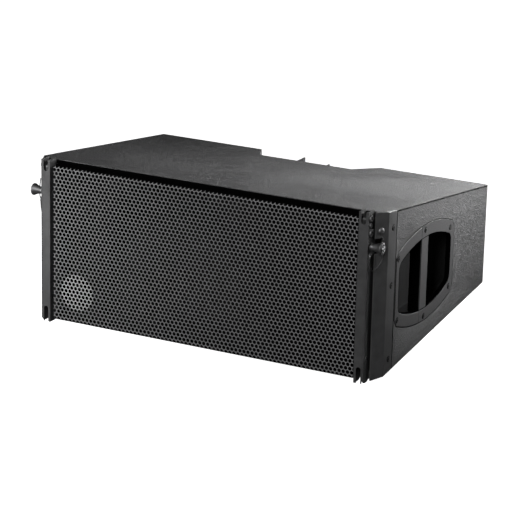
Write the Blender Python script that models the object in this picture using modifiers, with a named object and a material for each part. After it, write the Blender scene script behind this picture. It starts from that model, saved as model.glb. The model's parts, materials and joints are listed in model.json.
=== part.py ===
"""Compact line array loudspeaker, built as a bench assembly of separate pieces.

Units are metres. X is the width, Y runs from the grille (front) to the back, Z is up.
Design places are measured from the front plane and the floor: the empty "speaker" at the
origin of those places carries every piece, so that the world origin lies under the middle.
"""

import math

import bmesh
import bpy
from mathutils import Matrix, Vector

# ---- driving dimensions -------------------------------------------------------------------
WIDTH = 0.700
HEIGHT = 0.310
DEPTH = 0.480
WEDGE = math.radians(7.0)
PLY = 0.015
GAP = 0.0003
SHEET = 0.003

PANEL_FRONT_Y = 0.024
CORNER_IN = (0.3364, 0.0158)
CORNER_OUT_Y = 0.0407
FLANGE_END_Y = 0.073

RECESS_Y = 0.413
RECESS_HALF_IN = 0.098
RECESS_HALF_OUT = 0.128
RECESS_WALL = 0.012

RAIL_X = (0.3115, 0.3300)
RAIL_Z = (0.0000, 0.3100)
STRAND_BACK_Y = 0.0305
SLOT_X = 0.3205
SLOT_HALF = 0.0045
TOP_SLOT_Z = 0.288
BOTTOM_SLOT_Z = 0.030

LINK_THICK = 0.008
LINK_Y = (0.0036, 0.0186)
LINK_Z = (0.170, 0.302)
LINK_RISE = 0.065
PIN_Y = 0.0111
PIN_Z = 0.247
PIN_R = 0.0032
GUIDE_Z = 0.272
COUPLING_Z = 0.045
KNOB_R = 0.011

HANDLE_Y = 0.202
HANDLE_Z = 0.1535
HANDLE_HALF_W = 0.124
HANDLE_HALF_H = 0.090
HANDLE_BOW = 0.0255
HANDLE_SEAM_Y = 0.1825
HANDLE_PLATE = 0.004
OPENING_HALF_W = 0.112
OPENING_HALF_H = 0.068
OPENING_BOW = 0.0245
GRIP_Y = (0.185, 0.213)
GRIP_DEEP = 0.020
CUP_DEEP = 0.062
CUP_WALL = 0.003

WOOFER_X = 0.200
WOOFER_Y = 0.072
WOOFER_TILT = math.radians(15.0)
BAFFLE_HALF = 0.128

HORN_FRONT_Y = 0.020
MID_Y = 0.196
MID_R = 0.100
GUIDE_BACK_Y = 0.125
TWEETER_R = 0.045
TWEETER_DZ = 0.050

REAR_HALF = 0.028
REAR_BACK_Y = 0.465
REAR_PIVOT = (0.448, 0.233)
REAR_LINK_LONG = 0.100
REAR_LINK_HALF = 0.006
REAR_PIN_Z = 0.090

MID_Z = HEIGHT / 2
SLOPE = math.tan(WEDGE)
HALF_W = WIDTH / 2

for leftover in list(bpy.data.objects):
    bpy.data.objects.remove(leftover, do_unlink=True)

PARTS = bpy.data.collections.new("line_array_speaker")
CUTTERS = bpy.data.collections.new("cutters")
bpy.context.scene.collection.children.link(PARTS)
bpy.context.scene.collection.children.link(CUTTERS)

SPEAKER = bpy.data.objects.new("speaker", None)
SPEAKER.location = (0.0, -DEPTH / 2, 0.0)
PARTS.objects.link(SPEAKER)


# ---- materials ----------------------------------------------------------------------------
def material(name, color, roughness, metallic=0.0):
    made = bpy.data.materials.new(name)
    made.use_nodes = True
    shader = made.node_tree.nodes["Principled BSDF"]
    shader.inputs["Base Color"].default_value = (*color, 1.0)
    shader.inputs["Roughness"].default_value = roughness
    shader.inputs["Metallic"].default_value = metallic
    return made


CABINET_PAINT = ((0.030, 0.030, 0.031), 0.62)
SHEET_PAINT = ((0.024, 0.024, 0.025), 0.48)
MOULDING = ((0.035, 0.035, 0.036), 0.55)
DARK_STEEL = ((0.16, 0.16, 0.17), 0.34, 1.0)
BLACK_STEEL = ((0.05, 0.05, 0.05), 0.42, 1.0)
BARE_STEEL = ((0.55, 0.55, 0.56), 0.28, 1.0)
RAW_PLY = ((0.42, 0.30, 0.19), 0.7)
PAPER_CONE = ((0.02, 0.02, 0.02), 0.85)
BLACK_RUBBER = ((0.015, 0.015, 0.015), 0.6)
CAST_BASKET = ((0.12, 0.12, 0.12), 0.5, 0.8)
FOAM = ((0.012, 0.012, 0.012), 0.95)
GREEN_BOARD = ((0.03, 0.14, 0.07), 0.5)


# ---- mesh tools ---------------------------------------------------------------------------
def add_piece(name, mesh, finish, parent=SPEAKER):
    """A named piece with a material of its own, placed in its parent's frame."""
    piece = bpy.data.objects.new(name, mesh)
    PARTS.objects.link(piece)
    piece.parent = parent
    mesh.materials.clear()
    mesh.materials.append(material(name, *finish))
    return piece


def add_cutter(name, mesh, parent=SPEAKER):
    tool = bpy.data.objects.new(name, mesh)
    CUTTERS.objects.link(tool)
    tool.parent = parent
    tool.hide_render = True
    tool.display_type = "WIRE"
    return tool


def boolean(piece, tool, operation="DIFFERENCE"):
    change = piece.modifiers.new(tool.name, "BOOLEAN")
    change.operation = operation
    change.object = tool
    change.solver = "EXACT"


def axis_at(name, place, parent=SPEAKER):
    """An empty on a joint's axis, which carries the moving pieces."""
    empty = bpy.data.objects.new(name, None)
    empty.location = place
    empty.parent = parent
    PARTS.objects.link(empty)
    return empty


def hexahedron(corner):
    """A cube whose eight corners are moved to corner(sx, sy, sz), each sign -1 or 1."""
    bm = bmesh.new()
    bmesh.ops.create_cube(bm, size=2.0)
    for vertex in bm.verts:
        vertex.co = corner(*(round(c) for c in vertex.co))
    if bm.calc_volume(signed=True) < 0:
        bmesh.ops.reverse_faces(bm, faces=bm.faces)
    mesh = bpy.data.meshes.new("hexahedron")
    bm.to_mesh(mesh)
    bm.free()
    return mesh


def box(x, y, z):
    return hexahedron(lambda sx, sy, sz: (x[sx > 0], y[sy > 0], z[sz > 0]))


def wedge_box(x, y, inset):
    """A box between the sloping top and bottom, inset from both."""
    def corner(sx, sy, sz):
        depth = y[sy > 0]
        height = HEIGHT - SLOPE * depth - inset if sz > 0 else SLOPE * depth + inset
        return (x[sx > 0], depth, height)

    return hexahedron(corner)


def cylinder(radius, low, high, axis, centre, segments=24):
    """A closed cylinder along X, Y or Z, centre being its other two coordinates."""
    bm = bmesh.new()
    bmesh.ops.create_cone(bm, cap_ends=True, segments=segments, radius1=radius,
                          radius2=radius, depth=high - low)
    middle = (low + high) / 2
    turn = {"X": Matrix.Rotation(math.pi / 2, 4, "Y"), "Y": Matrix.Rotation(math.pi / 2, 4, "X"),
            "Z": Matrix.Identity(4)}[axis]
    place = {"X": (middle, *centre), "Y": (centre[0], middle, centre[1]),
             "Z": (*centre, middle)}[axis]
    bmesh.ops.transform(bm, matrix=Matrix.Translation(place) @ turn, verts=bm.verts)
    mesh = bpy.data.meshes.new("cylinder")
    bm.to_mesh(mesh)
    bm.free()
    return mesh


def extruded(outlines, low, high, axis):
    """Outlines (the later ones are holes) pushed along an axis.

    They are (y, z) points for X, (x, z) points for Y and (x, y) points for Z.
    """
    curve = bpy.data.curves.new("outline", "CURVE")
    curve.dimensions = "2D"
    curve.fill_mode = "BOTH"
    curve.extrude = (high - low) / 2
    for outline in outlines:
        spline = curve.splines.new("POLY")
        spline.points.add(len(outline) - 1)
        for point, (u, v) in zip(spline.points, outline):
            point.co = (u, v, 0.0, 1.0)
        spline.use_cyclic_u = True
    holder = bpy.data.objects.new("outline", curve)
    PARTS.objects.link(holder)
    graph = bpy.context.evaluated_depsgraph_get()
    mesh = bpy.data.meshes.new_from_object(holder.evaluated_get(graph))
    bpy.data.objects.remove(holder, do_unlink=True)
    bpy.data.curves.remove(curve)
    middle = (low + high) / 2
    place = {"X": lambda u, v, w: (w + middle, u, v), "Y": lambda u, v, w: (u, w + middle, v),
             "Z": lambda u, v, w: (u, v, w + middle)}[axis]
    bm = bmesh.new()
    bm.from_mesh(mesh)
    bmesh.ops.remove_doubles(bm, verts=bm.verts, dist=1e-6)
    for vertex in bm.verts:
        vertex.co = place(*vertex.co)
    bmesh.ops.recalc_face_normals(bm, faces=bm.faces)
    if bm.calc_volume(signed=True) < 0:
        bmesh.ops.reverse_faces(bm, faces=bm.faces)
    bm.to_mesh(mesh)
    bm.free()
    return mesh


def profile_mesh(profile, closed):
    mesh = bpy.data.meshes.new("profile")
    edges = [(i, i + 1) for i in range(len(profile) - 1)]
    if closed:
        edges.append((len(profile) - 1, 0))
    mesh.from_pydata([(r, 0.0, h) for r, h in profile], edges, [])
    return mesh


def turned(name, profile, finish, place, parent=SPEAKER, segments=30):
    """A profile of (radius, height) turned round the local Z axis, at a place matrix.

    The profile runs down its outer side. It is a ring unless it starts on the axis.
    """
    piece = add_piece(name, profile_mesh(profile, profile[0][0] > 0), finish, parent)
    piece.matrix_local = place
    spin = piece.modifiers.new("turn", "SCREW")
    spin.axis = "Z"
    spin.angle = math.tau
    spin.steps = spin.render_steps = segments
    spin.use_merge_vertices = True
    spin.merge_threshold = 1e-5
    spin.use_smooth_shade = True
    return piece


def facing(direction, place):
    """A matrix whose Z axis points along direction, at place."""
    turn = Vector(direction).to_track_quat("Z", "Y").to_matrix().to_4x4()
    return Matrix.Translation(place) @ turn


def arc(centre, radius, start, end, count):
    """Points on an arc, angles in degrees."""
    points = []
    for i in range(count + 1):
        angle = math.radians(start + (end - start) * i / count)
        points.append((centre[0] + radius * math.cos(angle), centre[1] + radius * math.sin(angle)))
    return points


def mirrored(points, side):
    return [(side * x, y) for x, y in points]


# ---- cabinet ------------------------------------------------------------------------------
def cabinet_top_or_bottom(name, top):
    """A mitred outer panel, cut back at the front corners and round the rear recess."""
    def corner(sx, sy, sz):
        outer = (sz > 0) == top
        depth = DEPTH if sy > 0 else PANEL_FRONT_Y
        level = SLOPE * depth + (0.0 if outer else PLY)
        half = HALF_W if outer else HALF_W - PLY - GAP
        return (sx * half, depth, HEIGHT - level if top else level)

    panel = add_piece(name, hexahedron(corner), CABINET_PAINT)
    low, high = (HEIGHT / 2, HEIGHT + 0.01) if top else (-0.01, HEIGHT / 2)
    clear_x, clear_y = CORNER_IN[0] - SHEET + 0.001, PANEL_FRONT_Y
    for side, label in ((-1, "left"), (1, "right")):
        corner_cut = [(clear_x, clear_y - 0.01), (clear_x + 0.0020, clear_y),
                      (HALF_W - SHEET - GAP, CORNER_OUT_Y + 0.003),
                      (HALF_W - SHEET - GAP, FLANGE_END_Y + GAP),
                      (HALF_W + 0.01, FLANGE_END_Y + GAP), (HALF_W + 0.01, clear_y - 0.01)]
        boolean(panel, add_cutter(f"{name}_corner_{label}",
                                  extruded([mirrored(corner_cut, side)], low, high, "Z")))
    slope_x = (RECESS_HALF_OUT - RECESS_HALF_IN) / (DEPTH - RECESS_Y)
    past = 0.01
    notch = [(-RECESS_HALF_IN, RECESS_Y), (RECESS_HALF_IN, RECESS_Y),
             (RECESS_HALF_OUT + slope_x * past, DEPTH + past),
             (-RECESS_HALF_OUT - slope_x * past, DEPTH + past)]
    boolean(panel, add_cutter(f"{name}_notch", extruded([notch], low, high, "Z")))
    return panel


def handle_outline(half_w, half_h, bow, corner, steps=10):
    """An upright barrel outline in (y, z): bowed top and bottom, straight ends."""
    radius = (half_w ** 2 + bow ** 2) / (2 * bow)
    spread = math.degrees(math.asin((half_w - corner) / radius))
    top_centre = (HANDLE_Y, HANDLE_Z + half_h - radius)
    low_centre = (HANDLE_Y, HANDLE_Z - half_h + radius)
    end_z = half_h - bow - corner
    points = arc(top_centre, radius, 90 - spread, 90 + spread, steps)
    points += [(HANDLE_Y - half_w, HANDLE_Z + end_z), (HANDLE_Y - half_w, HANDLE_Z - end_z)]
    points += arc(low_centre, radius, 270 - spread, 270 + spread, steps)
    points += [(HANDLE_Y + half_w, HANDLE_Z - end_z), (HANDLE_Y + half_w, HANDLE_Z + end_z)]
    return points


def side_panel(side, label):
    """A mitred side, rebated for the rigging flange, with the handle's cut-out."""
    name = f"side_panel_{label}"

    def corner(sx, sy, sz):
        outer = (sx > 0) == (side > 0)
        depth = DEPTH if sy > 0 else CORNER_OUT_Y + 0.0025
        inset = 0.0003 if outer else PLY + GAP
        level = SLOPE * depth + inset + (0.0001 if outer else 0.0002)
        across = HALF_W if outer else HALF_W - PLY
        return (side * across, depth, HEIGHT - level if sz > 0 else level)

    panel = add_piece(name, hexahedron(corner), CABINET_PAINT)
    reach = sorted((side * (HALF_W - SHEET - GAP), side * (HALF_W + 0.01)))
    boolean(panel, add_cutter(f"{name}_rebate",
                              box(reach, (0.0, FLANGE_END_Y + GAP), (-0.01, HEIGHT + 0.01))))
    through = sorted((side * (HALF_W - PLY - 0.01), side * (HALF_W + 0.01)))
    hole = handle_outline(HANDLE_HALF_W + GAP, HANDLE_HALF_H + GAP, HANDLE_BOW, 0.009)
    boolean(panel, add_cutter(f"{name}_handle", extruded([hole], *through, "X")))


def rear_walls():
    inset = PLY + GAP
    cheek = RECESS_WALL * 1.075
    for side, label in ((-1, "left"), (1, "right")):
        reach = sorted((side * (RECESS_HALF_OUT + cheek + 2 * GAP), side * (HALF_W - PLY - GAP)))
        add_piece(f"rear_panel_{label}", wedge_box(reach, (DEPTH - PLY, DEPTH), inset),
                  CABINET_PAINT)
    outline = [(-RECESS_HALF_OUT, DEPTH), (-RECESS_HALF_IN, RECESS_Y), (RECESS_HALF_IN, RECESS_Y),
               (RECESS_HALF_OUT, DEPTH), (RECESS_HALF_OUT + cheek, DEPTH),
               (RECESS_HALF_IN + 0.0075, RECESS_Y - RECESS_WALL),
               (-RECESS_HALF_IN - 0.0075, RECESS_Y - RECESS_WALL),
               (-RECESS_HALF_OUT - cheek, DEPTH)]
    recess = add_piece("recess_panel", extruded([outline], -0.01, HEIGHT + 0.01, "Z"),
                       CABINET_PAINT)
    boolean(recess, add_cutter("recess_height", wedge_box((-0.2, 0.2), (0.38, 0.50), inset)),
            "INTERSECT")


def chamber_walls():
    for side, label in ((-1, "left"), (1, "right")):
        reach = sorted((side * 0.108, side * 0.118))
        add_piece(f"chamber_wall_{label}", wedge_box(reach, (0.184, 0.400), PLY + GAP), RAW_PLY)
    baffle = add_piece("mid_baffle", wedge_box((-0.1075, 0.1075), (0.184, MID_Y), PLY + GAP),
                       RAW_PLY)
    boolean(baffle, add_cutter("mid_hole", cylinder(0.089, 0.17, 0.21, "Y", (0.0, MID_Z), 36)))


def woofer_baffle(side, label):
    """The slanted board that carries one woofer, deeper towards the middle."""
    along = Vector((side * math.cos(WOOFER_TILT), -math.sin(WOOFER_TILT)))
    back = Vector((side * math.sin(WOOFER_TILT), math.cos(WOOFER_TILT)))
    centre = Vector((side * WOOFER_X, WOOFER_Y))
    corners = [centre - along * BAFFLE_HALF, centre + along * BAFFLE_HALF]
    corners += [corners[1] + back * PLY, corners[0] + back * PLY]
    name = f"woofer_baffle_{label}"
    board = add_piece(name, extruded([[tuple(c) for c in corners]], -0.01, HEIGHT + 0.01, "Z"),
                      RAW_PLY)
    trim = wedge_box(sorted((side * 0.05, side * 0.34)), (0.02, 0.13), PLY + GAP)
    boolean(board, add_cutter(f"{name}_height", trim), "INTERSECT")
    hole = add_cutter(f"{name}_hole", cylinder(0.1125, -0.05, 0.05, "Z", (0.0, 0.0), 48))
    hole.matrix_local = woofer_place(side)
    boolean(board, hole)


def woofer_place(side):
    front = (-side * math.sin(WOOFER_TILT), -math.cos(WOOFER_TILT), 0.0)
    return facing(front, (side * WOOFER_X, WOOFER_Y, MID_Z))


# ---- loudspeakers -------------------------------------------------------------------------
def woofer(side, label):
    place = woofer_place(side)
    basket = [(0.125, 0.006), (0.125, GAP), (0.1115, GAP), (0.1115, -0.005), (0.073, -0.072),
              (0.056, -0.075), (0.056, -0.080), (0.028, -0.080), (0.028, -0.077),
              (0.053, -0.0725), (0.0705, -0.069), (0.1085, -0.004), (0.1085, 0.0035),
              (0.113, 0.006)]
    turned(f"woofer_basket_{label}", basket, CAST_BASKET, place)
    magnet = [(0.055, -0.0803), (0.055, -0.100), (0.050, -0.105), (0.012, -0.105),
              (0.012, -0.0803)]
    turned(f"woofer_magnet_{label}", magnet, BLACK_STEEL, place)
    roll = [(0.1082, 0.0052), (0.1082, 0.0040)] + arc((0.0998, 0.0040), 0.0058, 0, 180, 5)
    roll += [(0.0915, 0.0040), (0.0915, 0.0052)] + arc((0.0998, 0.0052), 0.0070, 180, 0, 5)
    turned(f"woofer_surround_{label}", roll, BLACK_RUBBER, place)
    axis = axis_at(f"woofer_axis_{label}", (0, 0, 0))
    axis.matrix_local = place
    dome = arc((0.0, -0.0905), 0.0600, 90, 57, 3)
    cone = dome + [(0.0905, 0.0052), (0.0912, 0.0052), (0.0912, 0.0030), (0.026, -0.048),
                   (0.026, -0.062), (0.0248, -0.062), (0.0248, -0.0476), (0.0, -0.0476)]
    turned(f"woofer_cone_{label}", cone, PAPER_CONE, Matrix.Identity(4), axis)


def mid_driver():
    place = facing((0, -1, 0), (0.0, MID_Y, MID_Z))
    basket = [(MID_R, -GAP), (MID_R, -0.005), (0.088, -0.0055), (0.060, -0.050), (0.045, -0.054),
              (0.045, -0.057), (0.022, -0.057), (0.022, -0.0545), (0.0575, -0.0475),
              (0.0845, -0.005), (0.0845, -GAP)]
    turned("mid_basket", basket, CAST_BASKET, place)
    magnet = [(0.050, -0.0573), (0.050, -0.076), (0.046, -0.080), (0.010, -0.080),
              (0.010, -0.0573)]
    turned("mid_magnet", magnet, BLACK_STEEL, place)
    axis = axis_at("mid_axis", (0, 0, 0))
    axis.matrix_local = place
    cone = [(0.0835, 0.0005), (0.0835, -0.0015), (0.0205, -0.036), (0.0205, -0.046),
            (0.0195, -0.046), (0.0195, -0.0353), (0.0825, 0.0005)]
    turned("mid_cone", cone, PAPER_CONE, Matrix.Identity(4), axis)


def horn():
    """The four-walled mid horn, with the tall high-frequency guide and drivers inside it."""
    wall = 0.005

    def flare(grow, front, back):
        def corner(sx, sy, sz):
            depth = back if sy > 0 else front
            share = (depth - HORN_FRONT_Y) / (0.184 - HORN_FRONT_Y)
            half = 0.060 + 0.020 * share + grow
            tall = 0.130 - 0.036 * share + grow
            return (sx * half, depth, MID_Z + sz * tall)

        return hexahedron(corner)

    mid_horn = add_piece("mid_horn", flare(wall, HORN_FRONT_Y, 0.184 - GAP), MOULDING)
    boolean(mid_horn, add_cutter("mid_horn_air", flare(0.0, HORN_FRONT_Y - 0.01, 0.194)))

    def guide(half_front, tall_front, half_back, tall_back, front, back):
        return hexahedron(lambda sx, sy, sz: (
            sx * (half_back if sy > 0 else half_front), back if sy > 0 else front,
            MID_Z + sz * (tall_back if sy > 0 else tall_front)))

    waveguide = add_piece("waveguide", guide(0.024, 0.120, 0.020, 0.100, 0.028, GUIDE_BACK_Y),
                          MOULDING)
    boolean(waveguide, add_cutter("waveguide_slot",
                                  guide(0.021, 0.116, 0.008, 0.085, 0.027, 0.118)))
    for sign, label in ((-1, "lower"), (1, "upper")):
        height = MID_Z + sign * TWEETER_DZ
        boolean(waveguide, add_cutter(f"throat_{label}",
                                      cylinder(0.0125, 0.112, 0.130, "Y", (0.0, height))))
        driver = [(0.0, -GAP), (TWEETER_R, -GAP), (TWEETER_R, -0.030), (0.040, -0.034),
                  (0.040, -0.048), (0.034, -0.054), (0.0, -0.054)]
        turned(f"compression_driver_{label}", driver, BLACK_STEEL,
               facing((0, -1, 0), (0.0, GUIDE_BACK_Y, height)))


def crossover():
    """The passive filter board on the floor of the middle chamber."""
    half_x, y = 0.090, (0.300, 0.392)
    lift = PLY + 2 * GAP

    def slab(x, yy, low, high):
        return hexahedron(lambda sx, sy, sz: (
            x[sx > 0], yy[sy > 0], SLOPE * yy[sy > 0] + (high if sz > 0 else low)))

    board = add_piece("crossover_board", slab((-half_x, half_x), y, lift, lift + 0.002),
                      GREEN_BOARD)
    for i, across in enumerate((-0.055, 0.055)):
        coil = cylinder(0.021, 0.0615, 0.092, "Z", (across, 0.345), 20)
        boolean(board, add_cutter(f"coil_{i}", coil), "UNION")
    block = slab((-0.022, 0.022), (0.318, 0.372), lift + 0.001, lift + 0.024)
    boolean(board, add_cutter("capacitors", block), "UNION")


# ---- grille -------------------------------------------------------------------------------
def grille():
    """Bent steel sheet with a lip that leans back under the top panel's front edge."""
    sheet = 0.0015
    face_y, low, bend_z, lip_y, lip_z = 0.006, 0.0035, 0.2965, 0.0225, 0.3035
    outline = [(face_y, low), (face_y, bend_z), (face_y + 0.002, bend_z + 0.003),
               (lip_y, lip_z), (lip_y, lip_z - sheet), (face_y + 0.003, bend_z + 0.0016),
               (face_y + sheet, bend_z - 0.001), (face_y + sheet, low + sheet),
               (lip_y, low + sheet + 0.0015), (lip_y, low + 0.0015), (face_y + 0.004, low)]
    add_piece("front_grille", extruded([outline], -0.308, 0.308, "X"), SHEET_PAINT)
    add_piece("grille_foam", box((-0.304, 0.304), (face_y + sheet + GAP, 0.0145),
                                 (0.012, 0.292)), FOAM)


# ---- front rigging ------------------------------------------------------------------------
def front_strand(side, label):
    """A folded steel channel, open to the back, with slots at both ends of its face."""
    x_in, x_out = RAIL_X
    name = f"front_strand_{label}"
    channel = [(x_in, 0.0), (x_out, 0.0), (x_out, STRAND_BACK_Y), (x_out - SHEET, STRAND_BACK_Y),
               (x_out - SHEET, SHEET), (x_in + 0.0025, SHEET), (x_in + 0.0025, STRAND_BACK_Y),
               (x_in, STRAND_BACK_Y)]
    strand = add_piece(name, extruded([mirrored(channel, side)], *RAIL_Z, "Z"), SHEET_PAINT)
    centre = side * SLOT_X
    top_slot = arc((centre, TOP_SLOT_Z + SLOT_HALF), SLOT_HALF, 180, 360, 8)
    top_slot += [(centre + SLOT_HALF, 0.32), (centre - SLOT_HALF, 0.32)]
    low_slot = arc((centre, BOTTOM_SLOT_Z - SLOT_HALF), SLOT_HALF, 0, 180, 8)
    low_slot += [(centre - SLOT_HALF, -0.01), (centre + SLOT_HALF, -0.01)]
    for part, outline in (("top", top_slot), ("low", low_slot)):
        boolean(strand, add_cutter(f"{name}_{part}_slot",
                                   extruded([outline], -0.005, SHEET + 0.0005, "Y")))
    across = sorted((side * (x_in - 0.01), side * (x_out + 0.01)))
    for part, height, radius in (("pin", PIN_Z, PIN_R + GAP), ("guide", GUIDE_Z, PIN_R + GAP),
                                 ("coupling", COUPLING_Z, 0.0042)):
        boolean(strand, add_cutter(f"{name}_{part}_hole",
                                   cylinder(radius, *across, "X", (PIN_Y, height), 20)))
    toe = [(-0.01, 0.016), (0.0075, -0.001), (0.0075, -0.01), (-0.01, -0.01)]
    beside = sorted((side * (x_out - SHEET - 0.0006), side * (x_out + 0.01)))
    boolean(strand, add_cutter(f"{name}_toe", extruded([toe], *beside, "X")))
    step_y = PANEL_FRONT_Y - 0.0005
    heel = [(0.014, -0.001), (step_y, 0.0035), (step_y, PLY + 0.0048), (0.05, PLY + 0.0080),
            (0.05, -0.01), (0.014, -0.01)]
    boolean(strand, add_cutter(f"{name}_heel", extruded([heel], *across, "X")))
    top_z = HEIGHT - PLY
    lead = [(step_y, HEIGHT), (step_y, top_z - 0.0048), (0.05, top_z - 0.0080), (0.05, HEIGHT)]
    boolean(strand, add_cutter(f"{name}_under_top", extruded([lead], *across, "X")))


def corner_plate(side, label):
    """The bevelled steel corner and its flange, let in flush with the side panel."""
    name = f"corner_plate_{label}"
    back = 0.0009
    outline = [CORNER_IN, (HALF_W, CORNER_OUT_Y), (HALF_W, FLANGE_END_Y),
               (HALF_W - SHEET, FLANGE_END_Y), (HALF_W - SHEET, CORNER_OUT_Y + back),
               (CORNER_IN[0] - 0.0025, CORNER_IN[1] + 0.0015)]
    plate = add_piece(name, extruded([mirrored(outline, side)], -0.01, HEIGHT + 0.01, "Z"),
                      SHEET_PAINT)
    trim = wedge_box(sorted((side * 0.32, side * 0.36)), (0.0, 0.09), 0.0004)
    boolean(plate, add_cutter(f"{name}_height", trim), "INTERSECT")
    notch = box(sorted((side * 0.32, side * 0.3435)), (0.0, 0.04), (PIN_Z - 0.0135, PIN_Z + 0.0135))
    boolean(plate, add_cutter(f"{name}_notch", notch))


def front_link(side, label):
    """The flat bar that rises out of the strand to couple the cabinet above."""
    x = sorted((side * (SLOT_X - LINK_THICK / 2), side * (SLOT_X + LINK_THICK / 2)))
    half = (LINK_Y[1] - LINK_Y[0]) / 2
    axis = axis_at(f"front_link_axis_{label}", (side * SLOT_X, PIN_Y, LINK_Z[1]))
    low, high = LINK_Z[0] - LINK_Z[1], 0.0
    body = arc((0.0, high - half), half, 0, 180, 12) + arc((0.0, low + half), half, 180, 360, 12)
    eye = arc((0.0, high - 0.012), 0.0042, 0, 337.5, 15)
    slot_r = PIN_R + 0.0005
    slot_high, slot_low = GUIDE_Z - LINK_Z[1], PIN_Z - LINK_RISE - LINK_Z[1]
    slot = arc((0.0, slot_high), slot_r, 0, 180, 8) + arc((0.0, slot_low), slot_r, 180, 360, 8)
    local_x = [v - side * SLOT_X for v in x]
    add_piece(f"front_link_{label}", extruded([body, eye, slot], *local_x, "X"), BLACK_STEEL, axis)


def guide_bolt(side, label):
    """The bolt that the link slides on; its head lies outside the strand."""
    profile = [(0.0, 0.0030), (0.0055, 0.0030), (0.0070, 0.0018), (0.0070, GAP), (PIN_R, GAP),
               (PIN_R, -0.0180), (0.0, -0.0180)]
    turned(f"guide_bolt_{label}", profile, DARK_STEEL,
           facing((side, 0, 0), (side * RAIL_X[1], PIN_Y, GUIDE_Z)), segments=20)


def locking_pin(side, label, place, reach):
    """A ball-lock pin with a flared knob and a release button in its end."""
    axis = axis_at(f"locking_pin_axis_{label}", (0, 0, 0))
    axis.matrix_local = facing((side, 0, 0), place)
    bore = 0.0053
    knob = [(0.0, 0.0165), (bore, 0.0165), (bore, 0.0240), (0.0095, 0.0240), (KNOB_R, 0.0225),
            (KNOB_R, 0.0205), (0.0092, 0.0175), (0.0072, 0.0115), (0.0064, 0.0060),
            (0.0064, 0.0010), (PIN_R, 0.0010), (PIN_R, -reach + 0.002),
            (PIN_R - 0.001, -reach), (0.0, -reach)]
    turned(f"locking_pin_{label}", knob, DARK_STEEL, Matrix.Identity(4), axis, 18)
    button_axis = axis_at(f"pin_button_axis_{label}", (0, 0, 0.0270), axis)
    button = [(0.0, 0.0), (0.0036, 0.0), (0.0048, -0.0010), (0.0048, -0.0072), (0.0, -0.0072)]
    turned(f"pin_button_{label}", button, BARE_STEEL, Matrix.Identity(4), button_axis, 20)


def lanyard(side, label):
    """The pin's tether: a looped wire from the corner plate to a ferrule beside the strand."""
    route = [(0.3450, 0.0215, 0.2660), (0.3475, 0.0245, 0.2600), (0.3500, 0.0262, 0.2500),
             (0.3508, 0.0265, 0.2400), (0.3490, 0.0255, 0.2290), (0.3450, 0.0230, 0.2180),
             (0.3400, 0.0165, 0.2085), (0.3358, 0.0110, 0.2045), (0.3338, 0.0075, 0.2080),
             (0.3332, 0.0045, 0.2160), (0.3330, 0.0030, 0.2260), (0.3330, 0.0030, 0.2330)]
    curve = bpy.data.curves.new(f"lanyard_{label}", "CURVE")
    curve.dimensions = "3D"
    curve.bevel_depth = 0.0009
    curve.bevel_resolution = 2
    curve.use_fill_caps = True
    points = smooth_route([Vector((side * x, y, z)) for x, y, z in route], 3)
    spline = curve.splines.new("POLY")
    spline.points.add(len(points) - 1)
    for point, place in zip(spline.points, points):
        point.co = (*place, 1.0)
    wire = bpy.data.objects.new(f"lanyard_{label}", curve)
    PARTS.objects.link(wire)
    wire.parent = SPEAKER
    curve.materials.append(material(f"lanyard_{label}", *BLACK_RUBBER))
    normal = Vector((side * (CORNER_OUT_Y - CORNER_IN[1]), -(HALF_W - CORNER_IN[0]), 0.0))
    normal.normalize()
    seat = Vector((side * 0.3422, 0.0264, 0.2735)) + normal * GAP
    head = [(0.0, 0.0035), (0.0030, 0.0032), (0.0050, 0.0022), (0.0062, 0.0006), (0.0062, 0.0),
            (0.0, 0.0)]
    turned(f"lanyard_screw_{label}", head, DARK_STEEL, facing(normal, seat), segments=20)


def smooth_route(knots, between):
    """Points on a Catmull-Rom curve through the knots, with some in every span."""
    ends = [2 * knots[0] - knots[1]] + knots + [2 * knots[-1] - knots[-2]]
    points = []
    for before, start, end, after in zip(ends, ends[1:], ends[2:], ends[3:]):
        for step in range(between):
            t = step / between
            points.append(0.5 * (2 * start + (end - before) * t
                                 + (2 * before - 5 * start + 4 * end - after) * t ** 2
                                 + (3 * start - before - 3 * end + after) * t ** 3))
    return points + [knots[-1]]


# ---- handles ------------------------------------------------------------------------------
def handle(side, label):
    """A two-piece frame with a grip bar, over a deep finger cup."""
    outer_x, inner_x = HALF_W, HALF_W - HANDLE_PLATE
    plate = sorted((side * inner_x, side * outer_x))
    outline = handle_outline(HANDLE_HALF_W, HANDLE_HALF_H, HANDLE_BOW, 0.009)
    opening = handle_outline(OPENING_HALF_W, OPENING_HALF_H, OPENING_BOW, 0.006)
    for part, y in (("front", (HANDLE_Y - 0.2, HANDLE_SEAM_Y - GAP / 2)),
                    ("rear", (HANDLE_SEAM_Y + GAP / 2, HANDLE_Y + 0.2))):
        name = f"handle_{part}_frame_{label}"
        frame = add_piece(name, extruded([outline, opening], *plate, "X"), MOULDING)
        half = box((-HALF_W - 0.01, HALF_W + 0.01), y, (0.0, HEIGHT))
        boolean(frame, add_cutter(f"{name}_half", half), "INTERSECT")
        if part == "rear":
            lift = 0.0008
            bar = [(GRIP_Y[0], outer_x - lift), (GRIP_Y[1], outer_x - lift),
                   (GRIP_Y[1], outer_x - 0.016), (GRIP_Y[1] - 0.005, outer_x - GRIP_DEEP),
                   (GRIP_Y[0] + 0.005, outer_x - GRIP_DEEP), (GRIP_Y[0], outer_x - 0.016)]
            grip = extruded([[(side * x, y) for y, x in bar]], HANDLE_Z - OPENING_HALF_H - 0.003,
                            HANDLE_Z + OPENING_HALF_H + 0.003, "Z")
            boolean(frame, add_cutter(f"{name}_grip", grip), "UNION")
    cup_shell(side, label, inner_x - GAP)


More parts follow.
